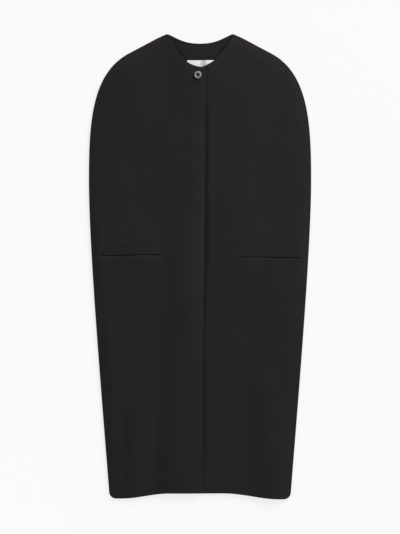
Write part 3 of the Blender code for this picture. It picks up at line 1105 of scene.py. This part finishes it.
def wool_finish(name, tones):
    wool = Finish(name, Sheen_Weight=0.03, Sheen_Roughness=0.5, Specular_IOR_Level=0.06)
    place = wool.place()
    nap = wool.mapped(place, Scale=NAP_STRETCH)
    fibres = wool.noise(nap, FIBRE_SCALE, detail=4.0)
    clumps = wool.noise(place, CLUMP_SCALE, detail=3.0)
    shade = wool.noise(place, SHADE_SCALE)
    slant = wool.mapped(place, Rotation=(0, 0, TWILL_TURN))
    ribs = {"Vector": slant, "Scale": TWILL_SCALE, "Distortion": TWILL_WOBBLE, "Detail": 1.0}
    twill = wool.node("ShaderNodeTexWave", {}, ribs, "Fac")
    tone = 0.45 * fibres + 0.30 * clumps + 0.20 * shade + 0.05 * twill
    height = 0.6 * fibres + 0.3 * clumps + 0.1 * twill
    return wool.feed(
        Base_Color=wool.mix(tone, *tones),
        Roughness=0.80 + 0.2 * clumps,
        Normal=wool.bump(height, NAP_HEIGHT, strength=0.7),
    )


WOOL_FINISH = wool_finish("felted_wool", WOOL_TONES)
FACING_FINISH = wool_finish("facing_wool", FACING_TONES)
print(WOOL_FINISH.name, FACING_FINISH.name, len(WOOL_FINISH.node_tree.nodes), "nodes each")

# %% [markdown]
# ## Satin
# The lining is a smooth satin whose fine warp threads run down the cape. A woven pattern would be finer
# than a pixel, so noise that is drawn out along the warp stands for the threads.

# %% Pale satin
SATIN_PALE = (0.92, 0.91, 0.89)
SATIN_SHADE = (0.83, 0.82, 0.81)
WARP_STRETCH = (1.0, 0.06, 1.0)
WARP_SCALE = 3200.0
WARP_HEIGHT = 0.00006
CLOUD_SCALE = 60.0


def satin_finish():
    satin = Finish("pale_satin", Specular_IOR_Level=0.5)
    place = satin.place()
    threads = satin.noise(satin.mapped(place, Scale=WARP_STRETCH), WARP_SCALE)
    cloud = satin.noise(place, CLOUD_SCALE)
    tone = 0.6 * threads + 0.4 * cloud
    return satin.feed(
        Base_Color=satin.mix(tone, SATIN_SHADE, SATIN_PALE),
        Roughness=0.30 + 0.15 * threads,
        Normal=satin.bump(threads, WARP_HEIGHT, strength=0.6),
    )


SATIN_FINISH = satin_finish()
print(SATIN_FINISH.name, len(SATIN_FINISH.node_tree.nodes), "nodes")

# %% [markdown]
# ## Metal and resin
# The rim is dark metal with a painted highlight, a pale band round its crest, and the dish is dark
# resin. The band could be painted on the mesh, but a band on a turned rim goes by the distance from the
# button's axis, so the finish measures that distance instead.

# %% Dark metal with a painted highlight on its crest
METAL_DARK = (0.10, 0.10, 0.10)
# The pale tone is a painted highlight, laid as a band round the crest.
METAL_HIGHLIGHT = (0.52, 0.52, 0.515)
HIGHLIGHT_FROM_WELL = (0.0052, 0.0064)
DARK_FROM_CREST = (0.0070, 0.0085)
LEVELLED = (1.0, 1.0, 0.0)
MARK_SCALE = 2600.0
MARK_HEIGHT = 0.00003
SMEAR_SCALE = 260.0


def metal_finish():
    metal = Finish("turned_metal", Metallic=1.0)
    place = metal.place()
    marks = metal.noise(place, MARK_SCALE)
    smear = metal.noise(place, SMEAR_SCALE)
    axis = (BUTTON_CENTRE.x, BUTTON_CENTRE.y, 0.0)
    ends = {"Vector": metal.mapped(place, Scale=LEVELLED), "Vector_001": axis}
    radius = metal.node("ShaderNodeVectorMath", {"operation": "DISTANCE"}, ends, "Value")
    slope = metal.fade(radius, *DARK_FROM_CREST)
    # Painted highlight: a pale band round the crest, between the well and the dark slope.
    crest_highlight = (1 - slope) * metal.fade(radius, *HIGHLIGHT_FROM_WELL)
    tone = crest_highlight * (0.8 + 0.2 * marks) + 0.1 * smear
    return metal.feed(
        Base_Color=metal.mix(tone, METAL_DARK, METAL_HIGHLIGHT),
        Roughness=0.55 + 0.15 * smear,
        Normal=metal.bump(marks, MARK_HEIGHT, strength=0.5),
    )


METAL_FINISH = metal_finish()
print(METAL_FINISH.name, len(METAL_FINISH.node_tree.nodes), "nodes")

# %% Dark resin
RESIN_DEEP = (0.010, 0.010, 0.010)
RESIN_LIGHT = (0.032, 0.031, 0.030)
SWIRL_SCALE = 420.0
SWIRL_HEIGHT = 0.00004


def resin_finish():
    resin = Finish("dark_resin", Specular_IOR_Level=0.5)
    swirl = resin.noise(resin.place(), SWIRL_SCALE, detail=3.0)
    return resin.feed(
        Base_Color=resin.mix(swirl, RESIN_DEEP, RESIN_LIGHT),
        Roughness=0.28 + 0.18 * swirl,
        Normal=resin.bump(swirl, SWIRL_HEIGHT, strength=0.4),
    )


RESIN_FINISH = resin_finish()
print(RESIN_FINISH.name, len(RESIN_FINISH.node_tree.nodes), "nodes")

# %% [markdown]
# ## Dress the solids
# Each soft piece takes its finish, rides on the one body and stands for its own solid.

# %% Ride, replace and take the finishes
DRESSING = (
    (back, "back", "wool", WOOL_FINISH),
    (front_left, "front_left", "wool", WOOL_FINISH),
    (front_right, "front_right", "wool", WOOL_FINISH),
    (facing, "back_neck_facing", "wool", FACING_FINISH),
    (lining, "back_lining", "lining", SATIN_FINISH),
    (welt_left, "welt_left", "wool", WOOL_FINISH),
    (welt_right, "welt_right", "wool", WOOL_FINISH),
    (button_rim, "button_rim", "button_metal", METAL_FINISH),
    (button_dish, "button_dish", "button_face", RESIN_FINISH),
)
for piece, node, slot, material in DRESSING:
    piece.data.materials.append(material)
    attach(piece, "root")
    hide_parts(node)
print(len(DRESSING), "pieces,", sum(triangles(row[0]) for row in DRESSING), "triangles in all")

# %% [markdown]
# ## Floor, light and camera
# The cape is shown on plain white, lit softly from the upper right. A floor that glows faintly stays
# white without strong lamps, which would grey the black wool. One large lamp low at the upper right
# models the folds and an even white world fills them. The lamp reaches the far side of the floor less,
# so the floor glows a little more there. The long lens looks straight down.

# %% Floor
FLOOR_HALF = 12.0
FLOOR_LEVEL = -0.0002
FLOOR_WHITE = (0.20, 0.20, 0.20, 1.0)
FLOOR_GLOW = 0.766
EVEN_SHARE = 0.068
EVEN_REACH = 1.2
EVEN_TURN = math.radians(132)
HALF_WAY = 0.5


def floor_material():
    """White that glows a little more on the side away from the lamp, up to a short reach."""
    glow = FLOOR_GLOW * (1 + EVEN_SHARE)
    pale = Finish("pale_floor", Roughness=0.9, Specular_IOR_Level=0.0, Emission_Strength=glow)
    turn, size = (0, 0, EVEN_TURN), (HALF_WAY / EVEN_REACH,) * 3
    away = pale.mapped(pale.place(), Location=(HALF_WAY, 0, 0), Rotation=turn, Scale=size)
    share = pale.node("ShaderNodeTexGradient", {}, {"Vector": away}, "Fac")
    dim = (1 - EVEN_SHARE) / (1 + EVEN_SHARE)
    return pale.feed(Base_Color=FLOOR_WHITE, Emission_Color=pale.mix(share, (dim,) * 3, (1,) * 3))


corners = np.array(((-1, -1, 0), (1, -1, 0), (1, 1, 0), (-1, 1, 0)), float) * FLOOR_HALF
corners[:, 2] = FLOOR_LEVEL
floor = add_piece("floor", corners, np.array(((0, 1, 2, 3),)))
floor.data.materials.append(floor_material())
print("floor", FLOOR_HALF * 2, "m wide at", FLOOR_LEVEL)

# %% Lamp and world
LAMP_PLACE = (3.3, 3.7, 2.4)
LAMP_SIZE = 3.2
LAMP_WATTS = 375.0
WORLD_WHITE = (1.0, 1.0, 1.0, 1.0)
WORLD_STRENGTH = 0.45

lamp_data = bpy.data.lights.new("soft_lamp", "AREA")
lamp_data.energy = LAMP_WATTS
lamp_data.size = LAMP_SIZE
lamp = bpy.data.objects.new("soft_lamp", lamp_data)
lamp.location = LAMP_PLACE
lamp.rotation_euler = (-lamp.location).to_track_quat("-Z", "Y").to_euler()
bpy.context.scene.collection.objects.link(lamp)

world = bpy.data.worlds.new("even_white")
world.use_nodes = True
sky = world.node_tree.nodes["Background"].inputs
sky["Color"].default_value = WORLD_WHITE
sky["Strength"].default_value = WORLD_STRENGTH
bpy.context.scene.world = world
bpy.context.scene.view_settings.view_transform = "Standard"
print("lamp", round(lamp.location.length, 2), "m from the cape's middle")

# %% Camera
LENS = 200.0
SENSOR = 36.0
FRAME_TALL = 1.3866
CLOTH_LEVEL = 0.004
FRAME_CENTRE = (-0.0001, -0.0008)

camera_data = bpy.data.cameras.new("camera")
camera_data.lens = LENS
camera_data.sensor_width = SENSOR
camera = bpy.data.objects.new("camera", camera_data)
camera.location = (*FRAME_CENTRE, CLOTH_LEVEL + FRAME_TALL * LENS / SENSOR)
bpy.context.scene.collection.objects.link(camera)
bpy.context.scene.camera = camera
print("camera height", round(camera.location.z, 3))
